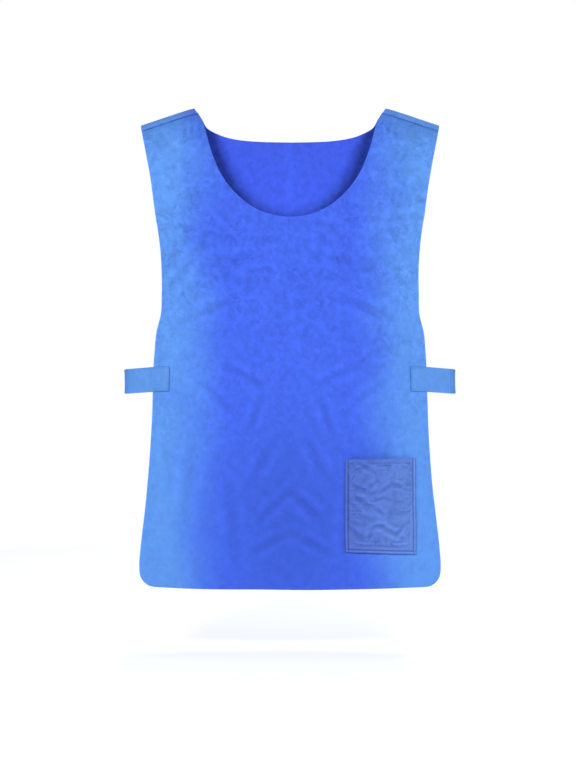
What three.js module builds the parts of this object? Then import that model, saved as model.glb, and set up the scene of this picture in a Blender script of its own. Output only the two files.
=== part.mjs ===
// A slip-on cooling vest of soft chamois cloth, in the form it has on a wearer: a front and a back panel joined by
// a lapped seam on each shoulder and a strap round each open side, with a slack patch pocket low on the front.
// Millimetres, +Z up. The front faces -Y and the wearer's left is +X. The origin is on the line where the shoulders
// carry the vest, midway between the neck ends of the two shoulder seams.

import * as THREE from "three";

// Driving dimensions. The panels' outline is the one seen from the front.
const CLOTH = 1.8; // wall of the front and back panels
const SEAT_GAP = 0.35; // what is left between two layers that are sewn together
const VEST_LENGTH = 708; // from the shoulder line to the middle of the hem
const HEM_HALF = 223; // from the centre line to the side edge at the hem
const HEM_CORNER_RADIUS = 24;
const UNDERARM_HALF = 199.5;
const ARMHOLE_LENGTH = 326; // down the armhole edge, from the shoulder to the underarm
const ARMHOLE_SCOOP = 17.6; // how far the armhole is cut in from a straight edge
const SHOULDER_HALF = 223; // from the centre line to the armhole end of the shoulder seam
const SHOULDER_DROP = 26; // how much lower that end is than the neck end
const SHOULDER_EASE = 8; // length over which the shoulder line bends near the neck
const SHOULDER_FALL = 95; // height over which the cloth turns from the shoulder to the chest
const SHOULDER_ROUNDNESS = 0.75; // 1 is a sharp ridge, and less is rounder
const NECK_HALF = 142; // from the centre line to the neck end of the shoulder seam
const FRONT_NECK_DROP = 164.5;
const BACK_NECK_DROP = 44.3;
const CHEST_DEPTH = 96; // from the shoulder line forward to the front panel
const BACK_DEPTH = 86; // from the shoulder line back to the back panel
const SECTION_POWER = 2.4; // 2 is a parabola, and more is flatter in the middle
const FOLD_HEIGHT = 7;

const BAND_WALL = 1.4; // wall of the band that covers a shoulder seam
const BAND_DROP = 9; // how far it reaches below the shoulder line on each side
const BAND_SHORT = 1.2; // how far from the neckline it ends

const STRAP_WALL = 1.6;
const STRAP_WIDTH = 36.5;
const STRAP_DOWN = 401.8; // from the shoulder line to the middle of the strap
const STRAP_OVERLAP = 25.5; // what is sewn down on each panel
const STRAP_REACH = 248; // from the centre line to the outside of its bend
const STRAP_SAG = 4.5;
const STRAP_EASE = 22; // length over which it turns off the panel and into its bend

const POCKET_WALL = 1.4;
const POCKET_WIDTH = 104.6;
const POCKET_HEIGHT = 138.9; // in its middle
const POCKET_CENTRE = 132.3; // from the centre line to the pocket's middle
const POCKET_ABOVE_HEM = 51.4;
const POCKET_SLANT = 6; // how much lower its bottom edge is at the side than towards the centre
const POCKET_RIM = 6; // the turned edge that is stitched down flat
const POCKET_SLACK = 10; // how far the patch stands off the panel in the middle
const POCKET_MOUTH_SAG = 1.2;

// The armhole: how far down it, and how far in it is cut, as shares of its length and of its scoop.
const ARMHOLE_ROWS = [
  { down: 0, in: 0 },
  { down: 0.113, in: 0.33 },
  { down: 0.25, in: 0.65 },
  { down: 0.387, in: 0.81 },
  { down: 0.525, in: 1 },
  { down: 0.66, in: 1 },
  { down: 0.8, in: 0.8 },
  { down: 0.905, in: 0.49 },
  { down: 0.95, in: 0.12 },
  { down: 1, in: 0 },
];

// The side edge below the underarm: how far down it, and how much of the flare it has reached.
const SIDE_ROWS = [
  { down: 0, out: 0 },
  { down: 0.06, out: 0.08 },
  { down: 0.25, out: 0.18 },
  { down: 0.43, out: 0.31 },
  { down: 0.61, out: 0.52 },
  { down: 0.74, out: 0.73 },
  { down: 0.86, out: 0.92 },
  { down: 1, out: 1 },
];

// A neckline from the shoulder to its lowest point, as shares of its drop and of the neck's half width.
const FRONT_NECK_ROWS = [
  { down: 0, out: 1 },
  { down: 0.086, out: 0.936 },
  { down: 0.168, out: 0.895 },
  { down: 0.389, out: 0.823 },
  { down: 0.537, out: 0.755 },
  { down: 0.66, out: 0.682 },
  { down: 0.78, out: 0.565 },
  { down: 0.86, out: 0.467 },
  { down: 0.92, out: 0.36 },
  { down: 0.962, out: 0.252 },
  { down: 0.99, out: 0.13 },
  { down: 1, out: 0 },
];
const BACK_NECK_ROWS = [
  { down: 0, out: 1 },
  { down: 0.18, out: 0.95 },
  { down: 0.48, out: 0.9 },
  { down: 0.62, out: 0.84 },
  { down: 0.74, out: 0.765 },
  { down: 0.86, out: 0.65 },
  { down: 0.945, out: 0.48 },
  { down: 0.985, out: 0.27 },
  { down: 1, out: 0 },
];

// Sections of a panel on the way down the vest: how full it is on the centre line and at its side edge, as
// shares of its depth. The shoulder's turn is not in them.
const FRONT_SECTIONS = [
  { down: 0, centre: 1, edge: 1 },
  { down: 0.12, centre: 1.01, edge: 0.86 },
  { down: 0.28, centre: 1.03, edge: 0.55 },
  { down: 0.42, centre: 1.01, edge: 0.44 },
  { down: 0.57, centre: 0.97, edge: 0.4 },
  { down: 0.8, centre: 0.93, edge: 0.42 },
  { down: 1, centre: 0.95, edge: 0.47 },
];
const BACK_SECTIONS = [
  { down: 0, centre: 1, edge: 1 },
  { down: 0.12, centre: 1.06, edge: 0.92 },
  { down: 0.28, centre: 1.08, edge: 0.6 },
  { down: 0.42, centre: 1.0, edge: 0.48 },
  { down: 0.57, centre: 0.9, edge: 0.44 },
  { down: 0.8, centre: 0.9, edge: 0.48 },
  { down: 1, centre: 0.96, edge: 0.54 },
];

// The soft folds. Where one is, and how long and wide, are shares of the hem's half width across and of the
// vest's length down. Its turn is from upright, in degrees, and its height is a share of the fold height.
const FRONT_FOLDS = [
  { across: -0.56, down: 0.84, turn: 5, long: 0.2, wide: 0.16, height: 0.75 },
  { across: -0.2, down: 0.9, turn: 2, long: 0.17, wide: 0.14, height: -0.6 },
  { across: 0.13, down: 0.86, turn: -2, long: 0.18, wide: 0.15, height: 0.7 },
  { across: 0.93, down: 0.9, turn: -8, long: 0.12, wide: 0.1, height: 0.5 },
  { across: -0.62, down: 0.42, turn: 62, long: 0.12, wide: 0.07, height: -0.4 },
  { across: 0.62, down: 0.42, turn: -62, long: 0.12, wide: 0.07, height: -0.4 },
  { across: -0.3, down: 0.55, turn: -38, long: 0.14, wide: 0.08, height: -0.4 },
  { across: 0.32, down: 0.54, turn: 38, long: 0.14, wide: 0.08, height: -0.4 },
];
const BACK_FOLDS = [
  { across: -0.6, down: 0.82, turn: 4, long: 0.22, wide: 0.15, height: 0.8 },
  { across: -0.24, down: 0.84, turn: 1, long: 0.24, wide: 0.14, height: -0.7 },
  { across: 0.12, down: 0.8, turn: -2, long: 0.26, wide: 0.15, height: 0.8 },
  { across: 0.5, down: 0.85, turn: -4, long: 0.2, wide: 0.14, height: -0.6 },
  { across: -0.55, down: 0.4, turn: 58, long: 0.13, wide: 0.07, height: -0.4 },
  { across: 0.55, down: 0.4, turn: -58, long: 0.13, wide: 0.07, height: -0.4 },
];

// A panel's forward or backward side, its size and its tables.
const FRONT = {
  side: -1,
  depth: CHEST_DEPTH,
  neckDrop: FRONT_NECK_DROP,
  neckRows: FRONT_NECK_ROWS,
  sections: FRONT_SECTIONS,
  folds: FRONT_FOLDS,
};
const BACK = {
  side: 1,
  depth: BACK_DEPTH,
  neckDrop: BACK_NECK_DROP,
  neckRows: BACK_NECK_ROWS,
  sections: BACK_SECTIONS,
  folds: BACK_FOLDS,
};

// How finely the shells are divided.
const NECK_COLUMNS = 11; // on each half of a neckline
const SHOULDER_COLUMNS = 5;
const BODY_ROWS = 26;
const ROW_SPREAD = 1.35; // 1 is even, and more is closer together near the shoulder
const CORNER_ROWS = 5; // in the round of the hem's corners
const NECK_REACH = 0.5; // the share of the way down by which the columns stand evenly side by side
const BAND_COLUMNS = 7;
const BAND_ROWS = 3; // on each side of the shoulder line
const STRAP_SEWN_STEPS = 3;
const STRAP_BEND_STEPS = 6; // from a panel's edge to the middle of the bend
const STRAP_ROWS = 2;
const POCKET_COLUMNS = 16;
const POCKET_ROWS = 15;

const { lerp, clamp, degToRad } = THREE.MathUtils;

// Column `to` of a table where its column `from` has the value `at`, on a smooth curve through the rows.
function readTable(rows, from, to, at) {
  const last = rows.length - 1;
  const x = clamp(at, rows[0][from], rows[last][from]);
  let i = 0;
  while (i < last - 1 && rows[i + 1][from] < x) i += 1;
  const slopeAt = (k) => {
    const a = rows[Math.max(k - 1, 0)];
    const b = rows[Math.min(k + 1, last)];
    return (b[to] - a[to]) / (b[from] - a[from]);
  };
  const width = rows[i + 1][from] - rows[i][from];
  const t = (x - rows[i][from]) / width;
  const bend = t * t * (3 - 2 * t);
  const leaving = t * (1 - t) * (1 - t) * width * slopeAt(i);
  const arriving = t * t * (t - 1) * width * slopeAt(i + 1);
  return lerp(rows[i][to], rows[i + 1][to], bend) + leaving + arriving;
}

// The height of the shoulder line. It is level over the neck and slopes down towards the armhole.
function ridgeHeight(x) {
  const fall = (out) => (Math.hypot(out, SHOULDER_EASE) + out - SHOULDER_EASE) / 2;
  return (-SHOULDER_DROP * fall(Math.abs(x) - NECK_HALF)) / fall(SHOULDER_HALF - NECK_HALF);
}

// Half the width of the vest at a height, before the hem's corners are rounded.
function edgeHalf(z) {
  const below = -z - SHOULDER_DROP;
  if (below <= 0) return SHOULDER_HALF;
  if (below < ARMHOLE_LENGTH) {
    const share = below / ARMHOLE_LENGTH;
    const straight = lerp(SHOULDER_HALF, UNDERARM_HALF, share);
    return straight - ARMHOLE_SCOOP * readTable(ARMHOLE_ROWS, "down", "in", share);
  }
  const share = (below - ARMHOLE_LENGTH) / (VEST_LENGTH - SHOULDER_DROP - ARMHOLE_LENGTH);
  return lerp(UNDERARM_HALF, HEM_HALF, readTable(SIDE_ROWS, "down", "out", share));
}

// What the round corner takes off the half width at a height above the hem.
function cornerTrim(aboveHem) {
  const short = Math.max(0, HEM_CORNER_RADIUS - aboveHem);
  return HEM_CORNER_RADIUS - Math.sqrt(HEM_CORNER_RADIUS ** 2 - short ** 2);
}

// How far a panel's folds lift it at a place.
function foldLift(folds, x, z) {
  return folds.reduce((sum, fold) => {
    const dx = x - fold.across * HEM_HALF;
    const dz = z + fold.down * VEST_LENGTH;
    const turn = degToRad(fold.turn);
    const along = (dz * Math.cos(turn) + dx * Math.sin(turn)) / (fold.long * VEST_LENGTH);
    const aside = (dx * Math.cos(turn) - dz * Math.sin(turn)) / (fold.wide * HEM_HALF);
    return sum + fold.height * FOLD_HEIGHT * Math.exp(-along * along - aside * aside);
  }, 0);
}

// How far a panel has turned from the shoulder to its full depth, at a drop below the shoulder line.
const shoulderTurn = (drop) => 1 - Math.exp(-((drop / SHOULDER_FALL) ** SHOULDER_ROUNDNESS));

// How far the middle of a panel's wall stands in front of the shoulder line, or behind it.
function fullness(panel, x, z) {
  const out = Math.min(1, Math.abs(x) / edgeHalf(z));
  const down = -z / VEST_LENGTH;
  const centre = readTable(panel.sections, "down", "centre", down);
  const edge = readTable(panel.sections, "down", "edge", down);
  const section = panel.depth * lerp(centre, edge, out ** SECTION_POWER);
  const drop = Math.max(0, ridgeHeight(x) - z);
  return (section + foldLift(panel.folds, x, z)) * shoulderTurn(drop);
}

// The point at a distance outwards from the middle of a panel's wall.
function panelPoint(panel, x, z, offset) {
  const step = 0.5;
  const slopeX = (fullness(panel, x + step, z) - fullness(panel, x - step, z)) / (2 * step);
  const slopeZ = (fullness(panel, x, z + step) - fullness(panel, x, z - step)) / (2 * step);
  const normal = new THREE.Vector3(-slopeX, panel.side, -slopeZ).normalize();
  return new THREE.Vector3(x, panel.side * fullness(panel, x, z), z).addScaledVector(normal, offset);
}

// The same on the shoulder line, where front and back meet in a mitre a small gap apart.
function ridgePoint(panel, x, offset) {
  const steep = (panel.depth * shoulderTurn(BAND_DROP)) / BAND_DROP;
  const rise = offset * Math.hypot(1, 1 / steep);
  return new THREE.Vector3(x, (panel.side * SEAT_GAP) / 2, ridgeHeight(x) + rise);
}

// A closed shell from the outer and inner points of a grid of `columns` by `rows` cells.
function shell(columns, rows, outerAt, innerAt) {
  const wide = columns + 1;
  const count = wide * (rows + 1);
  const points = [];
  for (const at of [outerAt, innerAt])
    for (let j = 0; j <= rows; j += 1)
      for (let i = 0; i < wide; i += 1) points.push(at(i, j));
  const faces = [];
  const quad = (a, b, c, d) => faces.push([a, b, c], [a, c, d]);
  for (let j = 0; j < rows; j += 1)
    for (let i = 0; i < columns; i += 1) {
      const a = j * wide + i;
      quad(a, a + wide, a + wide + 1, a + 1);
      quad(count + a, count + a + 1, count + a + wide + 1, count + a + wide);
    }
  const wall = (a, b) => quad(a, b, count + b, count + a);
  for (let i = 0; i < columns; i += 1) {
    wall(i, i + 1);
    wall(rows * wide + i + 1, rows * wide + i);
  }
  for (let j = 0; j < rows; j += 1) {
    wall((j + 1) * wide, j * wide);
    wall(j * wide + columns, (j + 1) * wide + columns);
  }
  const volume = faces.reduce((sum, [a, b, c]) => {
    const cross = new THREE.Vector3().crossVectors(points[b], points[c]);
    return sum + points[a].dot(cross);
  }, 0);
  const facing = volume < 0 ? faces.map(([a, b, c]) => [a, c, b]) : faces;
  return new THREE.BufferGeometry().setFromPoints(points).setIndex(facing.flat());
}

// The rows of a panel as shares of the way down, closer together near the shoulder and in the hem's corners.
function rowShares() {
  const corner = HEM_CORNER_RADIUS / VEST_LENGTH;
  const body = Array.from({ length: BODY_ROWS }, (_, k) => (1 - corner) * (k / BODY_ROWS) ** ROW_SPREAD);
  const round = Array.from({ length: CORNER_ROWS + 1 }, (_, k) => {
    const turn = (Math.PI / 2) * (k / CORNER_ROWS);
    return 1 - corner * (1 - Math.sin(turn));
  });
  return [...body, ...round];
}

// The top edge of the right half of a panel: along the neckline from its lowest point, and out on the shoulder.
function topEdge(panel) {
  const line = panel.neckRows.map(
    (row) => new THREE.Vector2(row.out * NECK_HALF, -row.down * panel.neckDrop),
  );
  const neck = new THREE.SplineCurve(line.reverse()).getSpacedPoints(NECK_COLUMNS);
  const shoulder = Array.from({ length: SHOULDER_COLUMNS }, (_, k) => {
    const x = lerp(NECK_HALF, SHOULDER_HALF, (k + 1) / SHOULDER_COLUMNS);
    return new THREE.Vector2(x, ridgeHeight(x));
  });
  return [...neck, ...shoulder];
}

function panelGeometry(panel) {
  const top = topEdge(panel);
  const half = top.length - 1;
  const rows = rowShares();
  const at = (offset) => (i, j) => {
    const column = Math.abs(i - half);
    const mirror = i < half ? -1 : 1;
    const start = top[column];
    if (j === 0 && column >= NECK_COLUMNS) return ridgePoint(panel, mirror * start.x, offset);
    const down = rows[j];
    const share = column / half;
    const z = start.y * (1 - down) ** 2 - VEST_LENGTH * down;
    const startShare = start.x / edgeHalf(start.y);
    const across = lerp(startShare, share, THREE.MathUtils.smoothstep(down, 0, NECK_REACH));
    const x = mirror * across * (edgeHalf(z) - cornerTrim(VEST_LENGTH * (1 - down)));
    return panelPoint(panel, x, z, offset);
  };
  return shell(2 * half, rows.length - 1, at(CLOTH / 2), at(-CLOTH / 2));
}

// The band over a shoulder seam: it lies on both panels and turns over the ridge between them.
function shoulderBandGeometry(mirror) {
  const seat = CLOTH / 2 + SEAT_GAP;
  const neckAt = (panel, drop) =>
    NECK_HALF * readTable(panel.neckRows, "down", "out", drop / panel.neckDrop);
  const at = (offset, ridgeRise) => (i, j) => {
    const panel = j < BAND_ROWS ? FRONT : BACK;
    const drop = (BAND_DROP * Math.abs(j - BAND_ROWS)) / BAND_ROWS;
    const share = i / BAND_COLUMNS;
    const outer = edgeHalf(-SHOULDER_DROP - drop);
    const x = lerp(neckAt(panel, drop) + BAND_SHORT, outer, share);
    if (drop === 0) {
      const front = ridgePoint(FRONT, mirror * x, seat);
      const back = ridgePoint(BACK, mirror * x, seat);
      return new THREE.Vector3(front.x, 0, Math.max(front.z, back.z) + ridgeRise);
    }
    return panelPoint(panel, mirror * x, ridgeHeight(x) - drop, offset);
  };
  return shell(BAND_COLUMNS, 2 * BAND_ROWS, at(seat + BAND_WALL, BAND_WALL), at(seat, 0));
}

// A strap: sewn on the outside of the front panel, round the open side in one bend, and on the back panel.
function strapGeometry(mirror) {
  const seat = CLOTH / 2 + SEAT_GAP;
  const steps = STRAP_SEWN_STEPS + STRAP_BEND_STEPS;
  const rowHeight = (j) => STRAP_WIDTH * (j / STRAP_ROWS - 0.5) - STRAP_DOWN;
  // The strap's inner face from a panel's sewn end to the middle of the bend, seen from above.
  const halfPath = (panel, z) => {
    const edge = edgeHalf(z);
    const sewn = Array.from({ length: STRAP_SEWN_STEPS }, (_, k) => {
      const x = edge - STRAP_OVERLAP * (1 - k / STRAP_SEWN_STEPS);
      return panelPoint(panel, x, z, seat);
    });
    const leave = panelPoint(panel, edge, z, seat);
    const before = panelPoint(panel, edge - 1, z, seat);
    const ahead = leave.clone().sub(before).setZ(0).setLength(STRAP_EASE);
    const middle = new THREE.Vector3(STRAP_REACH - STRAP_WALL, 0, z);
    const turn = middle.clone().setY(panel.side * STRAP_EASE);
    const bend = new THREE.CubicBezierCurve3(leave, leave.clone().add(ahead), turn, middle);
    return [...sewn, ...bend.getPoints(STRAP_BEND_STEPS)];
  };
  const paths = Array.from({ length: STRAP_ROWS + 1 }, (_, j) => {
    const z = rowHeight(j);
    const front = halfPath(FRONT, z);
    const back = halfPath(BACK, z).reverse().slice(1);
    return [...front, ...back];
  });
  const at = (offset) => (i, j) => {
    const path = paths[j];
    const ahead = path[Math.min(i + 1, 2 * steps)].clone().sub(path[Math.max(i - 1, 0)]);
    const outward = new THREE.Vector3(ahead.y, -ahead.x, 0).normalize();
    const sag = STRAP_SAG * Math.sin((Math.PI / 2) * clamp(1 - Math.abs(i / steps - 1), 0, 1)) ** 2;
    const point = path[i].clone().addScaledVector(outward, offset);
    return new THREE.Vector3(mirror * point.x, point.y, point.z - sag);
  };
  return shell(2 * steps, STRAP_ROWS, at(STRAP_WALL), at(0));
}

// How far the pocket's patch stands off the panel: nothing on the stitched rim, and most at the open mouth.
function pocketSlack(across, up) {
  const inside = POCKET_WIDTH / 2 - POCKET_RIM;
  const out = Math.min(1, (Math.abs(across) * POCKET_WIDTH) / 2 / inside);
  const rise = clamp((up * POCKET_HEIGHT - POCKET_RIM) / (POCKET_HEIGHT - POCKET_RIM), 0, 1);
  return POCKET_SLACK * (1 - out ** 3) * (1 - (1 - rise) ** 3);
}

function pocketGeometry() {
  const seat = CLOTH / 2 + SEAT_GAP;
  const rimAcross = (2 * POCKET_RIM) / POCKET_WIDTH;
  const rimUp = POCKET_RIM / POCKET_HEIGHT;
  // Rows and columns have one cell on the rim and the rest inside it.
  const acrossAt = (i) => {
    if (i === 0 || i === POCKET_COLUMNS) return i === 0 ? -1 : 1;
    return (1 - rimAcross) * ((2 * (i - 1)) / (POCKET_COLUMNS - 2) - 1);
  };
  const upAt = (j) => (j === 0 ? 0 : lerp(rimUp, 1, (j - 1) / (POCKET_ROWS - 1)));
  const at = (offset) => (i, j) => {
    const across = acrossAt(i);
    const up = upAt(j);
    const sag = POCKET_MOUTH_SAG * (1 - across ** 2) * up ** 4;
    const x = POCKET_CENTRE + (across * POCKET_WIDTH) / 2;
    const slant = (1 - up) * across * (POCKET_SLANT / 2);
    const z = POCKET_ABOVE_HEM - VEST_LENGTH + up * POCKET_HEIGHT - sag - slant;
    return panelPoint(FRONT, x, z, seat + pocketSlack(across, up) + offset);
  };
  return shell(POCKET_COLUMNS, POCKET_ROWS, at(POCKET_WALL), at(0));
}

const cloth = (colour) =>
  new THREE.MeshStandardMaterial({ color: colour, roughness: 0.9, metalness: 0 });
const panelCloth = cloth(0x4a72ef);
const trimCloth = cloth(0x5f93ea);
const pocketCloth = cloth(0x5a7ad9);

const vest = new THREE.Group();
function addPiece(name, geometry, material) {
  const piece = new THREE.Mesh(geometry, material);
  piece.name = name;
  vest.add(piece);
}

addPiece("front_panel", panelGeometry(FRONT), panelCloth);
addPiece("back_panel", panelGeometry(BACK), panelCloth);
for (const [name, mirror] of [["left", 1], ["right", -1]]) {
  addPiece(`shoulder_band_${name}`, shoulderBandGeometry(mirror), trimCloth);
  addPiece(`side_strap_${name}`, strapGeometry(mirror), trimCloth);
}
addPiece("pocket_patch", pocketGeometry(), pocketCloth);

export default vest;
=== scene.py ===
# %% [markdown]
# # A cooling vest of chamois cloth
# The vest is two sheets of soft cloth, front and back, joined by a band over each shoulder and by a short
# strap across each open side. A thin patch pocket sits low on the wearer's left. Nothing on it is stiff, so
# all of it is cloth that is shaped by how it hangs, and the work goes into folds, creases, cut edges,
# stitches and the nap.

import math

import bmesh
import bpy
import numpy as np
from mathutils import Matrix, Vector, noise
from mathutils.bvhtree import BVHTree


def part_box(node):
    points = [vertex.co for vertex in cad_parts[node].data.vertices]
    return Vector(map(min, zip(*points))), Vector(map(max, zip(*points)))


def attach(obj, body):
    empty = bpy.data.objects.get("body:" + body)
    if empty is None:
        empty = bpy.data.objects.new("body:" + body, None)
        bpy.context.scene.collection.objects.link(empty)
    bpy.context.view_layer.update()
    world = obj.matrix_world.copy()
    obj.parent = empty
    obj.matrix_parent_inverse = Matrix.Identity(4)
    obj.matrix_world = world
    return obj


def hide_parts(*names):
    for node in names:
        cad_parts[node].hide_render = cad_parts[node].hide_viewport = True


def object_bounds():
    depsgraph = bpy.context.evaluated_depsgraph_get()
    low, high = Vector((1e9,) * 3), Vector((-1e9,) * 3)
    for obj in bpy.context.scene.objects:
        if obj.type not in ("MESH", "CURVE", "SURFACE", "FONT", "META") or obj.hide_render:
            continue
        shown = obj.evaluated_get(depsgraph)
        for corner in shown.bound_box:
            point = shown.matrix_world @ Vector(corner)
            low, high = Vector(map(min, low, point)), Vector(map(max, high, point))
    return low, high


def add_object(name, data):
    made = bpy.data.objects.new(name, data)
    bpy.context.scene.collection.objects.link(made)
    return made


def node(tree, kind, **settings):
    made = tree.nodes.new(kind)
    for name, value in settings.items():
        setattr(made, name, value)
    return made


def link(tree, start, end):
    tree.links.new(start, end)


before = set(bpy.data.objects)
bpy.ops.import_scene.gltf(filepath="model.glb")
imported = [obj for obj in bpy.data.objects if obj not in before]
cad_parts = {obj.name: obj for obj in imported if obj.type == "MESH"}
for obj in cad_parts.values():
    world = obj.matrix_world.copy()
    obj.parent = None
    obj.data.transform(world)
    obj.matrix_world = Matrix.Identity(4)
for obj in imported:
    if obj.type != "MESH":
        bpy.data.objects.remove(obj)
cad_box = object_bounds()
print("nodes:", ", ".join(sorted(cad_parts)))

# %% [markdown]
# ## The camera
# The photograph looks straight at the front with hardly any perspective, which means a long lens from far
# away. Its scale at the shoulders and the place of the shoulder line in the picture give the lens and where
# it looks.

# %% Camera
PICTURE_WIDTH = 576
PICTURE_HEIGHT = 768
SHOULDER_SCALE = 0.0015  # metres in a pixel, at the shoulder line
CAMERA_AWAY = 3.0
CENTRE_COLUMN = 290.0  # the vest's centre line in the photograph
LEVEL_ROW = 347.0  # the row that the camera is level with
SHOULDER_ROW = 108.8
SENSOR = 0.036

lens_data = bpy.data.cameras.new("camera")
camera = add_object("camera", lens_data)
lens_data.sensor_fit = "HORIZONTAL"
lens_data.sensor_width = SENSOR * 1000
lens_data.lens = CAMERA_AWAY * SENSOR * 1000 / (SHOULDER_SCALE * PICTURE_WIDTH)
lens_data.shift_y = (LEVEL_ROW - PICTURE_HEIGHT / 2) / PICTURE_WIDTH
camera_x = (PICTURE_WIDTH / 2 - CENTRE_COLUMN) * SHOULDER_SCALE
camera_z = cad_box[1].z - (LEVEL_ROW - SHOULDER_ROW) * SHOULDER_SCALE
camera.location = (camera_x, -CAMERA_AWAY, camera_z)
camera.rotation_euler = (math.radians(90), 0, 0)
bpy.context.scene.camera = camera
print(f"camera: {lens_data.lens:.0f} mm lens, {CAMERA_AWAY} m away")

# %% [markdown]
# ## The studio
# The vest hangs in the air as if it were worn, over a round white floor. A wall behind it would hide it
# from the other side, so the white background is the world itself, which only the camera sees at full
# strength. What lights the vest is a much dimmer sky, because a bright one from all sides would wash the
# folds out.

# %% Floor and sky
FLOOR_BELOW_HEM = 0.1
FLOOR_RADIUS = 1.6
FLOOR_GLOW = 0.45  # keeps the floor white to the camera, in light that suits the vest
SKY_LIGHT = 0.10

bpy.ops.object.select_all(action="DESELECT")
bpy.ops.mesh.primitive_circle_add(vertices=128, radius=FLOOR_RADIUS, fill_type="NGON")
floor = bpy.context.active_object
floor.name = "floor"
floor.data.transform(floor.matrix_world)
for vertex in floor.data.vertices:
    vertex.co.z = cad_box[0].z - FLOOR_BELOW_HEM

floor_material = bpy.data.materials.new("floor")
floor_material.use_nodes = True
floor_tree = floor_material.node_tree
floor_shader = floor_tree.nodes["Principled BSDF"]
floor_shader.inputs["Base Color"].default_value = (0.93, 0.94, 0.95, 1)
floor_shader.inputs["Roughness"].default_value = 0.9
floor_shader.inputs["Emission Color"].default_value = (0.97, 0.985, 1.0, 1)
floor_ray = node(floor_tree, "ShaderNodeLightPath")
glow = node(floor_tree, "ShaderNodeMath", operation="MULTIPLY")
glow.inputs[1].default_value = FLOOR_GLOW
link(floor_tree, floor_ray.outputs["Is Camera Ray"], glow.inputs[0])
link(floor_tree, glow.outputs[0], floor_shader.inputs["Emission Strength"])
floor.data.materials.append(floor_material)

world = bpy.data.worlds.new("studio")
bpy.context.scene.world = world
world.use_nodes = True
sky = world.node_tree
lit_by = sky.nodes["Background"]
lit_by.inputs["Color"].default_value = (0.93, 0.96, 1.0, 1)
lit_by.inputs["Strength"].default_value = SKY_LIGHT
seen_as = node(sky, "ShaderNodeBackground")
seen_as.inputs["Color"].default_value = (1, 1, 1, 1)
which = node(sky, "ShaderNodeMixShader")
ray = node(sky, "ShaderNodeLightPath")
link(sky, ray.outputs["Is Camera Ray"], which.inputs[0])
link(sky, lit_by.outputs[0], which.inputs[1])
link(sky, seen_as.outputs[0], which.inputs[2])
link(sky, which.outputs[0], sky.nodes["World Output"].inputs["Surface"])
bpy.context.scene.view_settings.view_transform = "Standard"
print(f"floor: {2 * FLOOR_RADIUS} m across, {FLOOR_BELOW_HEM} m below the hem")

# %% [markdown]
# ## Lights
# The photograph has soft light from the front and a cooler light from each side, which makes the outer
# strips of the vest paler. The back panel's inside is dark beside the neckline on both sides, so the front
# light comes as a pair: the front panel keeps the left one off the left side and the right one off the
# right side.

# %% Lights
LIGHTS = [
    # name, place, size, power and colour
    ("front_left_light", (-0.75, -2.0, 0.55), 0.45, 22, (1.0, 1.0, 1.0)),
    ("front_right_light", (0.75, -2.0, 0.45), 0.45, 17, (1.0, 1.0, 1.0)),
    ("left_light", (-1.9, -0.5, 0.1), 0.7, 9, (0.86, 0.96, 1.0)),
    ("right_light", (1.9, -0.5, 0.0), 0.7, 9, (0.86, 0.96, 1.0)),
    ("back_light", (0.5, 1.8, 1.3), 1.0, 32, (1.0, 1.0, 1.0)),
]
AIM = Vector((0, 0, -0.35))

for name, place, size, power, colour in LIGHTS:
    data = bpy.data.lights.new(name, "AREA")
    data.shape = "SQUARE"
    data.size = size
    data.energy = power
    data.color = colour
    lamp = add_object(name, data)
    lamp.location = place
    lamp.rotation_euler = (AIM - Vector(place)).to_track_quat("-Z", "Y").to_euler()
print("lights:", ", ".join(name for name, *_ in LIGHTS))

# %% [markdown]
# ## Reading a sheet of cloth back from the frame
# Each CAD sheet is a closed shell of facets: an outer side, an inner side and a narrow cut edge between
# them. The outer side is a grid of cells, each split in two triangles along the same diagonal. Following
# the triangles from one edge gives the rows and columns again, and with them a smooth sheet of any fineness
# can be made in the same place. That is better than subdividing the facets, because it gives every point a
# place along and across the cloth.

# %% A sheet's rows
CORE = Vector((0, 0, (cad_box[0].z + cad_box[1].z) / 2))  # a point inside the vest
WELD = 2e-5  # corners nearer than this, in metres, are one corner
SHARP = math.radians(67)  # the outer side's rim turns more than this, and the cloth's own facets turn less


def outer_triangles(node_name):
    """The corners of a CAD sheet and the triangles of its outer side, which faces away from CORE."""
    bm = bmesh.new()
    bm.from_mesh(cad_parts[node_name].data)
    bmesh.ops.remove_doubles(bm, verts=bm.verts, dist=WELD)
    bm.verts.index_update()
    points = np.array([v.co for v in bm.verts])
    unseen = set(bm.faces)
    sides = []
    while unseen:
        side = [unseen.pop()]
        for face in side:
            for edge in face.edges:
                if edge.calc_face_angle(math.pi) < SHARP:
                    fresh = [other for other in edge.link_faces if other in unseen]
                    unseen.difference_update(fresh)
                    side.extend(fresh)
        sides.append(side)

    def outwards(side):
        return sum(face.calc_area() * face.normal.dot(face.calc_center_median() - CORE) for face in side)

    outer = max(sides, key=outwards)
    triangles = [tuple(v.index for v in face.verts) for face in outer]
    bm.free()
    return points, triangles


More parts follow.
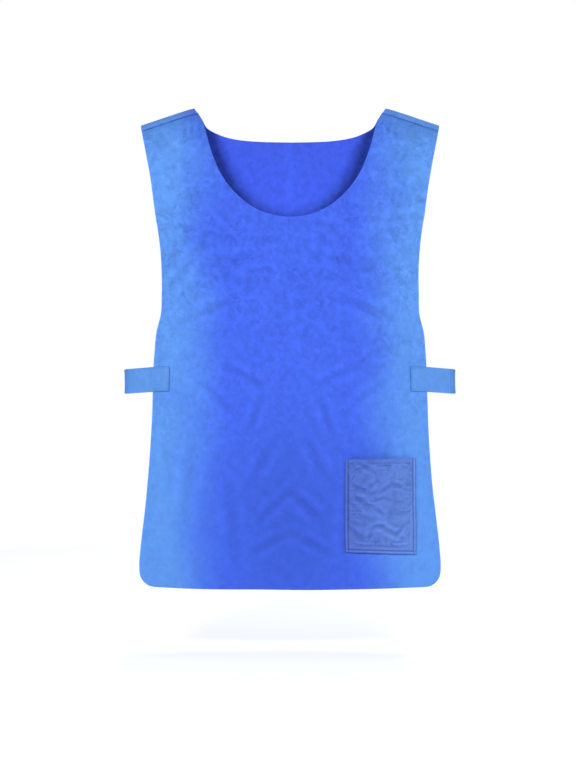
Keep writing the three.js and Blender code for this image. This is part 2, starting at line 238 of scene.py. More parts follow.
def rows_of(triangles):
    """The grid that the triangles are the halves of, as rows of corner numbers."""
    across = {}
    uses = {}
    for a, b, c in triangles:
        for one, two, third in ((a, b, c), (b, c, a), (c, a, b)):
            across.setdefault(frozenset((one, two)), []).append(third)
            uses[one] = uses.get(one, 0) + 1
    beside = {}
    for edge, thirds in across.items():
        if len(thirds) == 1:
            one, two = edge
            beside.setdefault(one, []).append(two)
            beside.setdefault(two, []).append(one)
    # A corner of the grid where the diagonal ends is in two triangles, and one where none ends is in one.
    start = min(v for v in beside if uses[v] == 2)
    row = [start, min(beside[start])]
    while uses[row[-1]] != 1:
        row.append(next(v for v in beside[row[-1]] if v != row[-2]))
    rows = [row]
    done = set(row)
    while True:
        ahead = [[v for v in across[frozenset(pair)] if v not in done] for pair in zip(row, row[1:])]
        if not ahead[0]:
            return rows
        ends = [found[0] for found in ahead]
        first = next(v for v in across[frozenset((row[0], ends[0]))] if v != row[1])
        row = [first, *ends]
        rows.append(row)
        done.update(row)


def grid_of(node_name, across, down):
    """The outer side of a CAD sheet as rows of points, its columns and rows turned to two directions."""
    points, triangles = outer_triangles(node_name)
    grid = points[np.array(rows_of(triangles))]
    spans = (grid[-1] - grid[0], grid[:, -1] - grid[:, 0])
    along = [abs(span.mean(axis=0) @ across) for span in spans]
    if along[0] > along[1]:
        grid = grid.transpose(1, 0, 2)
    if (grid[:, -1] - grid[:, 0]).mean(axis=0) @ across < 0:
        grid = grid[:, ::-1]
    if (grid[-1] - grid[0]).mean(axis=0) @ down < 0:
        grid = grid[::-1]
    return grid


# %% [markdown]
# ## A smooth sheet through the rows
# Curves that pass through every point of the grid keep the CAD outline exactly. Where the neckline meets
# the shoulder the edge has a real corner, so there the curves may leave in another direction than they
# arrive.

# %% Smooth curves and a fine sheet
def through(points, marks, at, corner_share=None):
    """Curves through `points`, which lie at the distances `marks` along them, read at the distances `at`."""
    steps = np.diff(marks)[:, None, None]
    slopes = np.diff(points, axis=0) / steps
    inner = (slopes[:-1] * steps[1:] + slopes[1:] * steps[:-1]) / (steps[:-1] + steps[1:])
    first = 1.5 * slopes[:1] - 0.5 * inner[:1]
    last = 1.5 * slopes[-1:] - 0.5 * inner[-1:]
    tangents = np.concatenate([first, inner, last])
    leaving = tangents[:-1].copy()
    arriving = tangents[1:].copy()
    if corner_share is not None:
        share = corner_share[:, :, None]
        leaving[1:] += share[1:-1] * (slopes[1:] - leaving[1:])
        arriving[:-1] += share[1:-1] * (slopes[:-1] - arriving[:-1])
    k = np.clip(np.searchsorted(marks, at, side="right") - 1, 0, len(marks) - 2)
    width = steps[k]
    t = ((at - marks[k])[:, None, None]) / width
    bend = t * t * (3 - 2 * t)
    middle = points[k] + (points[k + 1] - points[k]) * bend
    return middle + width * (t * (1 - t) ** 2 * leaving[k] + t * t * (t - 1) * arriving[k])


def marks_along(grid):
    """The mean distance along the first axis of a grid, from its first row."""
    steps = np.linalg.norm(np.diff(grid, axis=0), axis=2).mean(axis=1)
    return np.concatenate([[0], np.cumsum(steps)])


CORNER_TURN = math.radians(30)  # the top edge has a corner where it turns more than this
CORNER_FADE = 1.5  # how many rows of the grid a corner is felt in


def corners_of(grid):
    """How much of a corner each point of a grid is, column by column, from the turns of its top row."""
    ahead = np.diff(grid[0], axis=0)
    ahead /= np.linalg.norm(ahead, axis=1)[:, None]
    turn = np.arccos(np.clip((ahead[1:] * ahead[:-1]).sum(axis=1), -1, 1))
    share = np.zeros(len(grid[0]))
    share[1:-1] = turn > CORNER_TURN
    fade = np.exp(-np.arange(len(grid)) / CORNER_FADE)
    return share[:, None] * fade[None, :]


def blurred(height, reach):
    """A grid of heights, each averaged with its neighbours `reach` times over."""
    for _ in range(reach):
        for axis in (0, 1):
            edge = [(1, 1) if k == axis else (0, 0) for k in (0, 1)]
            wide = np.pad(height, edge, mode="edge")
            low, high = (wide[:-2], wide[2:]) if axis == 0 else (wide[:, :-2], wide[:, 2:])
            height = 0.5 * height + 0.25 * (low + high)
    return height


def cells_of(rows, columns):
    """The corner numbers of each cell of a grid of points."""
    number = np.arange(rows * columns).reshape(rows, columns)
    corners = [number[:-1, :-1], number[1:, :-1], number[1:, 1:], number[:-1, 1:]]
    return np.stack(corners, axis=-1).reshape(-1, 4)


def line_at(distance, wide):
    """1 on a line and less beside it, from the distance to the line."""
    return np.exp(-((distance / wide) ** 2))


RELIEF_REACH = 14  # how far round a point, in cells, its height is compared
RELIEF_FULL = 0.00045  # a point this much above or below what is round it has the full painted shade or painted highlight


class Sheet:
    """A fine sheet: its points and outward normals, and the distance of its columns and rows along it."""

    def __init__(self, grid, columns, rows):
        wide = marks_along(grid.transpose(1, 0, 2))
        long = marks_along(grid)
        self.u = np.linspace(0, wide[-1], columns + 1)
        self.v = np.linspace(0, long[-1], rows + 1)
        across = through(grid.transpose(1, 0, 2), wide, self.u, corners_of(grid))
        self.points = through(across.transpose(1, 0, 2), long, self.v)
        self.painted_shade = np.zeros(self.points.shape[:2])
        self.renormal()

    def renormal(self):
        along = np.gradient(self.points, axis=1)
        down = np.gradient(self.points, axis=0)
        normals = np.cross(along, down)
        normals /= np.linalg.norm(normals, axis=2)[:, :, None]
        if ((self.points - np.array(CORE)) * normals).sum() < 0:
            normals = -normals
        self.normals = normals

    def push(self, lift):
        """Moves each point along its normal, and notes where that makes a ridge or a valley, for painted
        highlight and painted shade.
        """
        self.points = self.points + lift[:, :, None] * self.normals
        self.painted_shade = np.clip(self.painted_shade + (lift - blurred(lift, RELIEF_REACH)) / RELIEF_FULL, -1, 1)
        self.renormal()

    def at(self, u, v):
        """The point and normal at a distance across and down."""
        x = np.interp(u, self.u, np.arange(len(self.u)))
        y = np.interp(v, self.v, np.arange(len(self.v)))
        i = min(int(x), len(self.u) - 2)
        j = min(int(y), len(self.v) - 2)
        s, t = x - i, y - j
        weights = ((1 - s) * (1 - t), s * (1 - t), (1 - s) * t, s * t)
        places = ((j, i), (j, i + 1), (j + 1, i), (j + 1, i + 1))
        point = sum(w * self.points[p] for w, p in zip(weights, places))
        normal = sum(w * self.normals[p] for w, p in zip(weights, places))
        return point, normal / np.linalg.norm(normal)

    def mesh(self, name):
        """A mesh object of the sheet, with its faces outwards."""
        quads = cells_of(*self.points.shape[:2])
        a, b, d = (self.points.reshape(-1, 3)[quads[:, k]] for k in (0, 1, 3))
        facing = np.cross(b - a, d - a)
        if (facing * self.normals[:-1, :-1].reshape(-1, 3)).sum() < 0:
            quads = quads[:, ::-1]
        data = bpy.data.meshes.new(name)
        data.from_pydata(self.points.reshape(-1, 3).tolist(), [], quads.tolist())
        layer = data.uv_layers.new(name="cloth")
        uv = np.stack(np.meshgrid(self.u, self.v), axis=-1).reshape(-1, 2)
        layer.data.foreach_set("uv", uv[quads.reshape(-1)].astype(np.float32).reshape(-1))
        # The painted shade and highlight of ridges and valleys, which the material reads.
        painted_shade = data.attributes.new("painted_shade", "FLOAT", "POINT")
        painted_shade.data.foreach_set("value", self.painted_shade.astype(np.float32).reshape(-1))
        return add_object(name, data)


# %% [markdown]
# ## Folds and creases
# The panels hang nearly smooth. What shows is a slow swell, a net of soft crush marks left from folding,
# and short creases that run down from the chest to the middle in mirrored pairs. All of it is a height over
# the cloth that depends on the place alone, so that what is sewn onto a panel can follow the same heights.

# %% Relief of a panel
SWELL = 0.0013
SWELL_SIZE = 0.12
CRUSH = 0.0011
CRUSH_SIZE = 0.055
CRUMPLE = 0.00025
CRUMPLE_SIZE = 0.016
SHOULDER_CALM = 0.035  # the relief fades out over this height below the shoulder line
HEM_CALM = 0.5  # what is left of the crush marks at the hem
CALMING = (0.30, 0.62)  # they calm between these depths below the shoulder line
FINE_CRUSH = 0.25  # the share of finer crush marks
CRUSH_WANDER = 0.6  # how far their ridges wander, in their own size
RIDGE_NARROW = 2.6
RIDGE_SHARP = 2.2
BANK_HEIGHT = 0.45  # the raised banks beside a crease, as a share of its depth
BANK_OUT = 1.9  # how far out they lie, in widths of the crease
SEEDS = {-1: 4.2, 1: 61.5}  # of the front and the back

# The creases of the front. Each has a mirrored twin.
CREASES = [
    # x and z of the middle, how far it runs, turn from upright in degrees, width and depth
    (0.022, -0.585, 0.030, 48, 0.006, 0.0013),
    (0.040, -0.520, 0.034, 30, 0.007, 0.0011),
    (0.030, -0.640, 0.026, 62, 0.006, 0.0011),
    (0.070, -0.395, 0.036, 118, 0.006, 0.0010),
    (0.105, -0.430, 0.030, 130, 0.006, 0.0009),
    (0.052, -0.455, 0.026, 20, 0.006, 0.0010),
    (0.120, -0.300, 0.040, 70, 0.007, 0.0008),
    (0.155, -0.240, 0.034, 35, 0.007, 0.0009),
    (0.060, -0.225, 0.036, 80, 0.007, 0.0007),
    (0.150, -0.555, 0.050, 8, 0.009, 0.0010),
    (0.085, -0.610, 0.050, -6, 0.009, 0.0010),
    (0.146, -0.028, 0.012, 4, 0.003, 0.0011),
    (0.156, -0.040, 0.014, 10, 0.003, 0.0007),
]


def crease_lift(x, z, creases, mirrors):
    """The height that the creases of a table, and their twins if `mirrors` has -1, give the cloth."""
    lift = np.zeros_like(x)
    for middle_x, middle_z, run, degrees, wide, depth in creases:
        for mirror in mirrors:
            turn = math.radians(degrees) * mirror
            dx, dz = x - middle_x * mirror, z - middle_z
            along = (dz * math.cos(turn) - dx * math.sin(turn)) / run
            aside = (dx * math.cos(turn) + dz * math.sin(turn)) / wide
            bank = BANK_HEIGHT * np.exp(-((np.abs(aside) - BANK_OUT) ** 2))
            lift -= depth * np.exp(-(along**2)) * (np.exp(-(aside**2)) - bank)
    return lift


def swirl(x, z, size, seed):
    """Smooth noise from -1 to 1 at each place, with features of about `size` metres."""
    flat = np.stack([x.ravel() / size, z.ravel() / size], axis=1)
    values = [noise.noise(Vector((a, seed, b))) for a, b in flat]
    return np.array(values).reshape(x.shape)


def crush(x, z, size, seed):
    """A net of soft ridges, 0 to 1, that wanders and fades in and out."""
    shift = CRUSH_WANDER * size
    bent_x = x + shift * swirl(x, z, 1.7 * size, seed + 11.3)
    bent_z = z + shift * swirl(x, z, 1.7 * size, seed + 23.7)
    ridge = 1 - np.abs(swirl(bent_x, bent_z, size, seed)) * RIDGE_NARROW
    patchy = np.clip(0.55 + 0.9 * swirl(x, z, 2.6 * size, seed + 37.1), 0, 1)
    return np.clip(ridge, 0, 1) ** RIDGE_SHARP * patchy


def panel_relief(side, x, z):
    """The height of the relief on the front (-1) or the back (1) panel at a place."""
    seed = SEEDS[side]
    lift = SWELL * swirl(x, z, SWELL_SIZE, seed)
    crushed = crush(x, z, CRUSH_SIZE, seed + 3) - FINE_CRUSH * crush(x, z, 0.6 * CRUSH_SIZE, seed + 5)
    lift += CRUSH * crushed * np.interp(-z, CALMING, (1.0, HEM_CALM))
    lift += CRUMPLE * swirl(x, z, CRUMPLE_SIZE, seed + 7)
    lift *= np.clip(-z / SHOULDER_CALM - 0.6, 0, 1)
    if side < 0:
        lift += crease_lift(x, z, CREASES, (1, -1))
    return lift


# %% [markdown]
# ## Cut edges
# The cloth isn't hemmed: its edges are cut and only a little rounded by use. A wall is given inwards from
# the outer side, and a small bevel rounds the two rims of the cut.

# %% Wall and rounded rims
RIM_ROUND = 0.00045
RIM_TURN = math.radians(50)  # only an edge that turns more than this is a rim


def select_only(piece):
    bpy.ops.object.select_all(action="DESELECT")
    piece.select_set(True)
    bpy.context.view_layer.objects.active = piece


def give_wall(piece, wall, inside=0):
    """Turns a sheet's mesh into a closed wall with rounded rims. Its inner side has slot `inside`."""
    select_only(piece)
    solid = piece.modifiers.new("wall", "SOLIDIFY")
    solid.thickness = wall
    solid.offset = -1
    solid.use_even_offset = False
    solid.material_offset = inside
    bpy.ops.object.modifier_apply(modifier=solid.name)
    rim = piece.modifiers.new("rim", "BEVEL")
    rim.width = RIM_ROUND
    rim.segments = 2
    rim.limit_method = "ANGLE"
    rim.angle_limit = RIM_TURN
    bpy.ops.object.modifier_apply(modifier=rim.name)
    bpy.ops.object.shade_smooth_by_angle(angle=RIM_TURN)
    flat = piece.modifiers.new("flat", "WEIGHTED_NORMAL")
    flat.mode = "FACE_AREA"
    flat.weight = 80
    flat.keep_sharp = True
    bpy.ops.object.modifier_apply(modifier=flat.name)
    print(f"{piece.name}: {len(piece.data.polygons)} faces")


# %% [markdown]
# ## The front and back panels
# Both panels are one sheet each. They are rebuilt from the frame, get their relief, and then their wall. At
# the shoulder line the two cut edges lean towards each other, so their points are kept on their own side of
# it.

# %% Panels
PANEL_WALL = 0.0018
PANEL_COLUMNS = 160
PANEL_ROWS = 250
SHOULDER_GAP = 0.00015
EDGE_HIGHLIGHT = 1.6  # a painted highlight along the cut edge, in units of a full ridge
EDGE_WIDE = 0.0013

panel_sheets = {}
panels = {}
for node_name, side in (("front_panel", -1), ("back_panel", 1)):
    grid = grid_of(node_name, np.array([1, 0, 0]), np.array([0, 0, -1]))
    sheet = Sheet(grid, PANEL_COLUMNS, PANEL_ROWS)
    sheet.push(panel_relief(side, sheet.points[:, :, 0], sheet.points[:, :, 2]))
    panel_sheets[side] = sheet
    u, v = np.meshgrid(sheet.u, sheet.v)
    to_edge = np.minimum(np.minimum(u, sheet.u[-1] - u), v)
    # A painted highlight along the panel's cut edges.
    sheet.painted_shade = sheet.painted_shade + EDGE_HIGHLIGHT * line_at(to_edge, EDGE_WIDE)
    panel = sheet.mesh(f"{node_name}_cloth")
    panel.data.materials.append(None)
    panel.data.materials.append(None)
    give_wall(panel, PANEL_WALL, inside=1)
    for vertex in panel.data.vertices:
        vertex.co.y = side * max(side * vertex.co.y, SHOULDER_GAP)
    panels[side] = panel
    print(node_name, "grid", grid.shape[:2], "width", round(sheet.u[-1], 3), "length", round(sheet.v[-1], 3))

# %% [markdown]
# ## The inner sides
# Light reaches the inside of the back through the neck opening. Close to the front's neckline it is dark,
# and a soft lamp in a plain studio shows too little of that, so that shade is painted. The attribute that
# carries the painted shade and highlight of ridges and valleys carries this painted shade on the inner sides.

# %% Shade inside the neck
NECK_SHADE = 9.5  # painted shade inside the neck, in units of a full valley
NECK_DARKEST = 5.4  # it gets no darker than this
NECK_REACH = 0.031  # how far it reaches past the neckline
DEEP_SHADE = 3.0  # the painted shade further down, where the front hides the back
DEEP_FROM = 0.05  # how far below the neckline that shade is reached
PALE_MIDDLE_LINE = 0.7  # a faint paler line down the middle of the back's inner side
PALE_MIDDLE_WIDE = 0.006


def painted_neck_shade(points):
    """The painted shade on the back's inner side at each point, from where it lies to the front's neckline.
    """
    line = panel_sheets[-1].points[0][:, [0, 2]]
    flat = points[:, [0, 2]]
    away = np.min([np.linalg.norm(flat - spot, axis=1) for spot in line], axis=0)
    below = np.interp(flat[:, 0], line[:, 0], line[:, 1]) - flat[:, 1]
    near = np.clip(1 - away / NECK_REACH, 0, 1)
    shade = np.minimum(NECK_SHADE * near**2, NECK_DARKEST)
    hidden = NECK_DARKEST + (DEEP_SHADE - NECK_DARKEST) * np.clip(below / DEEP_FROM, 0, 1)
    return np.where(below > 0, hidden, shade)


for side, panel in panels.items():
    inner = sorted({n for face in panel.data.polygons if face.material_index == 1 for n in face.vertices})
    painted_shade = panel.data.attributes["painted_shade"].data
    points = np.array([panel.data.vertices[n].co for n in inner])
    # The inner side gets the outer side's painted shade turned over, at half strength, and the back's inner
    # side also the painted neck shade.
    kept = -0.5 * np.array([painted_shade[n].value for n in inner])
    if side > 0:
        kept += PALE_MIDDLE_LINE * line_at(points[:, 0], PALE_MIDDLE_WIDE) - painted_neck_shade(points)
    for number, value in zip(inner, kept):
        painted_shade[number].value = value
    print(f"{panel.name}: {len(inner)} points on the inner side")

# %% [markdown]
# ## Following the panel
# The straps and pocket are sewn to the panels, so their points move with the relief under them. A strap
# does so only where it lies on a panel, and its free bend has small waves of its own.

# %% Relief for what is sewn on
def follow(sheet, side, share):
    """Lifts a sheet by the relief of the panel that it lies on, times a share."""
    lift = panel_relief(side, sheet.points[:, :, 0], sheet.points[:, :, 2])
    sheet.push(lift * share)


# %% [markdown]
# ## Stitches
# The seams are sewn with thread of the cloth's own colour, in stitches of about three millimetres that sink
# into the cloth. One stitch is shaped from a sphere: it is stretched, flattened, and its ends are bent
# down. The rows of stitches are copies of it, laid along lines that are given by distances across and down
# a sheet.

# %% One stitch
STITCH_LENGTH = 0.0024
STITCH_WIDTH = 0.00062
STITCH_HEIGHT = 0.0005
STITCH_PITCH = 0.0031
STITCH_DIP = 0.0003  # how far a stitch's ends go down
STITCH_SINK = 0.00004
LINE_END = 0.002  # a row of stitches ends this far from the end of its sheet
GROOVE_WIDE = 0.0012  # the groove that a row of stitches pulls

bpy.ops.object.select_all(action="DESELECT")
bpy.ops.mesh.primitive_uv_sphere_add(segments=8, ring_count=6, radius=0.5)
pattern = bpy.context.active_object
pattern.name = "stitch_pattern"
bpy.ops.object.mode_set(mode="EDIT")
bpy.ops.mesh.select_all(action="SELECT")
bpy.ops.transform.rotate(value=math.pi / 2, orient_axis="Y", center_override=(0, 0, 0))
bpy.ops.transform.resize(value=(STITCH_LENGTH, STITCH_WIDTH, STITCH_HEIGHT))
bpy.ops.object.mode_set(mode="OBJECT")
stitch_points = np.array([v.co for v in pattern.data.vertices])
stitch_points[:, 2] -= STITCH_DIP * (2 * stitch_points[:, 0] / STITCH_LENGTH) ** 2
stitch_faces = [tuple(face.vertices) for face in pattern.data.polygons]
bpy.data.objects.remove(pattern)
print(f"stitch: {len(stitch_faces)} faces")


def sew(name, lines):
    """One mesh of stitches along lines, each given by a sheet and a list of (across, down) distances."""
    points = []
    faces = []
    for sheet, corners in lines:
        for (u0, v0), (u1, v1) in zip(corners, corners[1:]):
            run = math.hypot(u1 - u0, v1 - v0)
            count = max(1, int(run / STITCH_PITCH))
            for k in range(count):
                middle = (k + 0.5) / count
                reach = 0.5 * STITCH_LENGTH / run
                (behind, _), (here, up), (ahead, _) = (
                    sheet.at(u0 + share * (u1 - u0), v0 + share * (v1 - v0))
                    for share in (middle - reach, middle, middle + reach)
                )
                along = ahead - behind
                along -= up * (along @ up)
                along /= np.linalg.norm(along)
                axes = np.stack([along, np.cross(up, along), up])
                start = sum(len(block) for block in points)
                points.append(here - STITCH_SINK * up + stitch_points @ axes)
                faces.extend(tuple(start + n for n in face) for face in stitch_faces)
    data = bpy.data.meshes.new(name)
    data.from_pydata(np.concatenate(points).tolist(), [], faces)
    data.shade_smooth()
    print(f"{name}: {len(points)} stitches")
    return add_object(name, data)


def groove(sheet, u, v, depth):
    """The sink that a row of stitches pulls into a sheet, along a line at one distance across or down."""
    across, down = np.meshgrid(sheet.u, sheet.v)
    distance = down - v if u is None else across - u
    return -depth * line_at(distance, GROOVE_WIDE)


# %% [markdown]
# ## The shoulder bands
# Each shoulder seam is covered by a narrow band of the same cloth, which lies on both panels and turns over
# the shoulder line. Its long edges are stitched down, which leaves a puffed middle, and a line of painted
# shade runs along each edge.

# %% Shoulder bands
BAND_WALL = 0.0012
BAND_COLUMNS = 110
BAND_ROWS = 40
BAND_STITCH_IN = 0.0022  # from the band's long edge to its stitches
BAND_PUFF = 0.0004
BAND_RAISED = 0.0003  # the rebuilt panels are a little fuller than the facets that the band was made to clear
EDGE_SHADE = 3.2  # a line of painted shade along a sewn edge, in units of a full valley
EDGE_LINE = 0.0009
BAND_GROOVE = 0.00035
BAND_WAVE = 0.00022
BAND_WAVE_SIZE = 0.009
BAND_WAVE_LONG = 0.4  # its waves are this much slower across the seam
BAND_SEED = 8.8

bands = {}
band_lines = []
for name in ("left", "right"):
    grid = grid_of(f"shoulder_band_{name}", np.array([1, 0, 0]), np.array([0, 1, 0]))
    sheet = Sheet(grid, BAND_COLUMNS, BAND_ROWS)
    width = sheet.v[-1]
    puff = BAND_PUFF * np.sin(np.pi * (sheet.v / width))[:, None]
    x, y = sheet.points[:, :, 0], sheet.points[:, :, 1] * BAND_WAVE_LONG
    lift = puff + BAND_WAVE * swirl(x, y, BAND_WAVE_SIZE, BAND_SEED + len(name)) + BAND_RAISED
    for v in (BAND_STITCH_IN, width - BAND_STITCH_IN):
        lift = lift + groove(sheet, None, v, BAND_GROOVE)
        band_lines.append((sheet, [(LINE_END, v), (sheet.u[-1] - LINE_END, v)]))
    sheet.push(lift)
    to_edge = np.minimum(sheet.v, width - sheet.v)
    # Painted shade along the band's long edges.
    sheet.painted_shade = sheet.painted_shade - EDGE_SHADE * line_at(to_edge, EDGE_LINE)[:, None]
    band = sheet.mesh(f"shoulder_band_{name}_cloth")
    give_wall(band, BAND_WALL)
    bands[name] = (band, sheet)
band_stitches = sew("shoulder_band_stitches", band_lines)

# %% [markdown]
# ## The side straps
# A strap is a flat tape. One end is sewn on the front panel and the other on the back panel, each with
# stitches on its three sides, and between them it bends round the open side. The free part has a slight
# wave and its edges curl a little, because nothing pulls on it.

# %% Side straps
STRAP_WALL = 0.0014
STRAP_COLUMNS = 200
STRAP_ROWS = 40
STRAP_STITCH_IN = 0.0028
STRAP_SEWN = 0.0255  # what lies on each panel
STRAP_FADE = 0.012  # how far the sewn end is felt in the free part
STRAP_GROOVE = 0.0003
STRAP_WAVE = 0.0007
STRAP_WAVE_ALONG = 0.021
STRAP_WAVE_DOWN = 0.05
STRAP_CURL = 0.0006
STRAP_CREPE = 0.00018  # small unevenness all over
CREPE_SIZE = 0.008
STRAP_PRESSED = 0.0002  # how far a sewn end is pressed into the panel
STRAP_TUCK = 0.0012  # how far the edges draw in where the strap bends back
STRAP_TUCK_WIDE = 0.006
STRAP_ROW_END = STRAP_SEWN - 0.001  # where its stitches end, just inside the panel's edge

straps = {}
strap_lines = []
for name, mirror in (("left", 1), ("right", -1)):
    grid = grid_of(f"side_strap_{name}", np.array([0, 1, 0]), np.array([0, 0, -1]))
    sheet = Sheet(grid, STRAP_COLUMNS, STRAP_ROWS)
    length, width = sheet.u[-1], sheet.v[-1]
    from_end = np.minimum(sheet.u, length - sheet.u)
    sewn = np.clip(1 - (from_end - STRAP_SEWN) / STRAP_FADE, 0, 1)
    free = (1 - sewn) ** 2
    for side, half in ((-1, sheet.u < length / 2), (1, sheet.u >= length / 2)):
        follow(sheet, side, sewn * half)
    u, v = np.meshgrid(sheet.u, sheet.v)
    curl = STRAP_CURL * (2 * v / width - 1) ** 4
    wave = STRAP_WAVE * np.sin(u / STRAP_WAVE_ALONG + 1.3 * mirror + v / STRAP_WAVE_DOWN) * free
    crepe = STRAP_CREPE * swirl(u, v, CREPE_SIZE, 5.1 * mirror)
    lift = wave + curl * free + crepe - STRAP_PRESSED * sewn
    for line in (STRAP_STITCH_IN, length - STRAP_STITCH_IN):
        lift = lift + groove(sheet, line, None, STRAP_GROOVE)
    for line in (STRAP_STITCH_IN, width - STRAP_STITCH_IN):
        lift = lift + groove(sheet, None, line, STRAP_GROOVE) * sewn
    sheet.push(lift)
    sheet.points[:, :, 2] += STRAP_TUCK * line_at(u - length / 2, STRAP_TUCK_WIDE) * (2 * v / width - 1) ** 5
    to_edge = np.minimum(np.minimum(u, length - u), np.minimum(v, width - v))
    # Painted shade along the edges of the sewn ends.
    sheet.painted_shade = sheet.painted_shade - EDGE_SHADE * line_at(to_edge, EDGE_LINE) * sewn
    near, low = STRAP_STITCH_IN, width - STRAP_STITCH_IN
    for end, inner in ((STRAP_ROW_END, near), (length - STRAP_ROW_END, length - near)):
        strap_lines.append((sheet, [(end, near), (inner, near), (inner, low), (end, low), (end, near)]))
    strap = sheet.mesh(f"side_strap_{name}_cloth")
    give_wall(strap, STRAP_WALL)
    straps[name] = (strap, sheet)
strap_stitches = sew("side_strap_stitches", strap_lines)

# %% [markdown]
# ## The pocket
# The pocket is a patch of thinner cloth, sewn down on three sides with a turned edge, and slack in the
# middle, so that it crumples in soft waves that run across it. Such waves are hard to draw and easy to
# grow: a coarse net of the patch is held along its seams and its hem, made a little too large for its
# place, and left to settle as cloth. The net's new places then go through the same smooth curves as before.

# %% A patch that is too large for its place
POCKET_NET = (44, 56)
POCKET_STITCH_IN = 0.0046
POCKET_GROWTH = 0.03  # how much too large the cloth is
POCKET_FLAT = 0.006  # what lies flat above the bottom seam
POCKET_FRAMES = 34
POCKET_CLEAR = 0.0022  # what stays between the patch and the panel, its wall included
POCKET_HELD = 0.001  # how far inside its stitches the net is held as well
RAY_FROM = 0.05  # how far outside the net a ray to the panel starts


def crumple_pocket(net):
    """Lets a coarse sheet that is held at its rim grow and fall as cloth, and keeps it off the panel."""
    start = net.points.copy()
    piece = net.mesh("pocket_net")
    u, v = np.meshgrid(net.u, net.v)
    to_seam = np.minimum(np.minimum(u, net.u[-1] - u), net.v[-1] - v - POCKET_FLAT)
    held = piece.vertex_groups.new(name="held")
    for number, (far, down) in enumerate(zip(to_seam.reshape(-1), v.reshape(-1))):
        if min(far, down) < POCKET_STITCH_IN + POCKET_HELD:
            held.add([number], 1.0, "REPLACE")
    select_only(piece)
    fall = piece.modifiers.new("fall", "CLOTH")
    fall.settings.vertex_group_mass = "held"
    fall.settings.quality = 8
    fall.settings.mass = 0.15
    fall.settings.tension_stiffness = 12
    fall.settings.compression_stiffness = 12
    fall.settings.shear_stiffness = 4
    fall.settings.bending_stiffness = 0.35
    fall.settings.shrink_min = -POCKET_GROWTH
    fall.settings.shrink_max = -POCKET_GROWTH
    fall.settings.effector_weights.gravity = 0.04
    fall.collision_settings.use_collision = False
    fall.point_cache.frame_start = 1
    fall.point_cache.frame_end = POCKET_FRAMES
    for number in range(1, POCKET_FRAMES + 1):
        bpy.context.scene.frame_set(number)
    bpy.ops.object.modifier_apply(modifier=fall.name)
    fallen = np.array([vertex.co for vertex in piece.data.vertices]).reshape(start.shape)
    bpy.data.objects.remove(piece)
    bpy.context.scene.frame_set(1)
    panel = panel_sheets[-1]
    quads = cells_of(*panel.points.shape[:2])
    skin = BVHTree.FromPolygons(panel.points.reshape(-1, 3).tolist(), quads.tolist())
    for row, column in np.ndindex(fallen.shape[:2]):
        point = Vector(fallen[row, column])
        outwards = Vector(net.normals[row, column])
        hit, _, _, away = skin.ray_cast(point + RAY_FROM * outwards, -outwards)
        if hit is not None and away - RAY_FROM < POCKET_CLEAR:
            fallen[row, column] = hit + POCKET_CLEAR * outwards
    moved = np.linalg.norm(fallen - start, axis=2)
    print(f"pocket net: moved {moved.mean() * 1000:.1f} mm, at most {moved.max() * 1000:.1f} mm")
    return fallen


# %% [markdown]
# ## The patch, sewn down
# The settled net becomes a fine sheet that follows the panel and is drawn in along its seams.

# %% Pocket patch
POCKET_WALL = 0.0014
POCKET_COLUMNS = 150
POCKET_ROWS = 190
POCKET_HEM = 0.007  # from its mouth to the hem's stitches
HEM_SHORT = 0.003  # they start and end this far inside the side seams
POCKET_GROOVE = 0.0009
HEM_GROOVE = 0.0006
POCKET_CREPE = 0.0003
LOOSE_FROM_SEAM = 0.010  # the folds have their full depth this far inside the stitches
SEAM_SHADE = 2.3  # painted shade along the stitches, in units of a full valley
SIDE_SHADE = 3.6  # painted shade at the patch's edge, in the same units
RIM_LIGHT = 1.4  # a painted highlight on the fold of the turned edge
RIM_PLACE = 0.45  # where it lies, as a share of the way to the stitches
RIM_LINE = 0.7 * GROOVE_WIDE
FOLD_SHADE = 1.6  # the painted shade and highlight of the pocket's folds are this much stronger than the panels'

POCKET_FOLDS = [
    # x from its left edge, z from its top edge, and the rest as for the creases
    (0.030, -0.012, 0.014, 61, 0.0032, 0.0016),
    (0.022, -0.046, 0.016, 66, 0.0046, 0.0022),
    (0.037, -0.040, 0.011, 128, 0.0034, 0.0018),
    (0.058, -0.045, 0.012, 118, 0.0032, 0.0016),
    (0.080, -0.040, 0.010, 70, 0.0028, 0.0014),
    (0.026, -0.066, 0.022, 55, 0.0042, 0.0023),
    (0.050, -0.078, 0.011, 60, 0.0034, 0.0016),
    (0.066, -0.106, 0.020, 66, 0.0036, 0.0022),
    (0.084, -0.108, 0.009, 134, 0.0030, 0.0018),
    (0.050, -0.100, 0.012, 102, 0.0030, 0.0014),
    (0.038, -0.116, 0.013, -8, 0.0040, 0.0018),
    (0.013, -0.110, 0.012, 50, 0.0036, 0.0017),
    (0.086, -0.064, 0.012, 84, 0.0034, 0.0012),
]

grid = grid_of("pocket_patch", np.array([1, 0, 0]), np.array([0, 0, -1]))
net = Sheet(grid, *POCKET_NET)
fallen = crumple_pocket(net)
grown = ((fallen - net.points) * net.normals).sum(axis=2)
net.points = fallen
pocket_sheet = Sheet(net.points, POCKET_COLUMNS, POCKET_ROWS)
fine_u = np.linspace(0, net.u[-1], POCKET_COLUMNS + 1)
fine_v = np.linspace(0, net.v[-1], POCKET_ROWS + 1)
fine_grown = through(grown[:, :, None].transpose(1, 0, 2), net.u, fine_u)
fine_grown = through(fine_grown.transpose(1, 0, 2), net.v, fine_v)[:, :, 0]
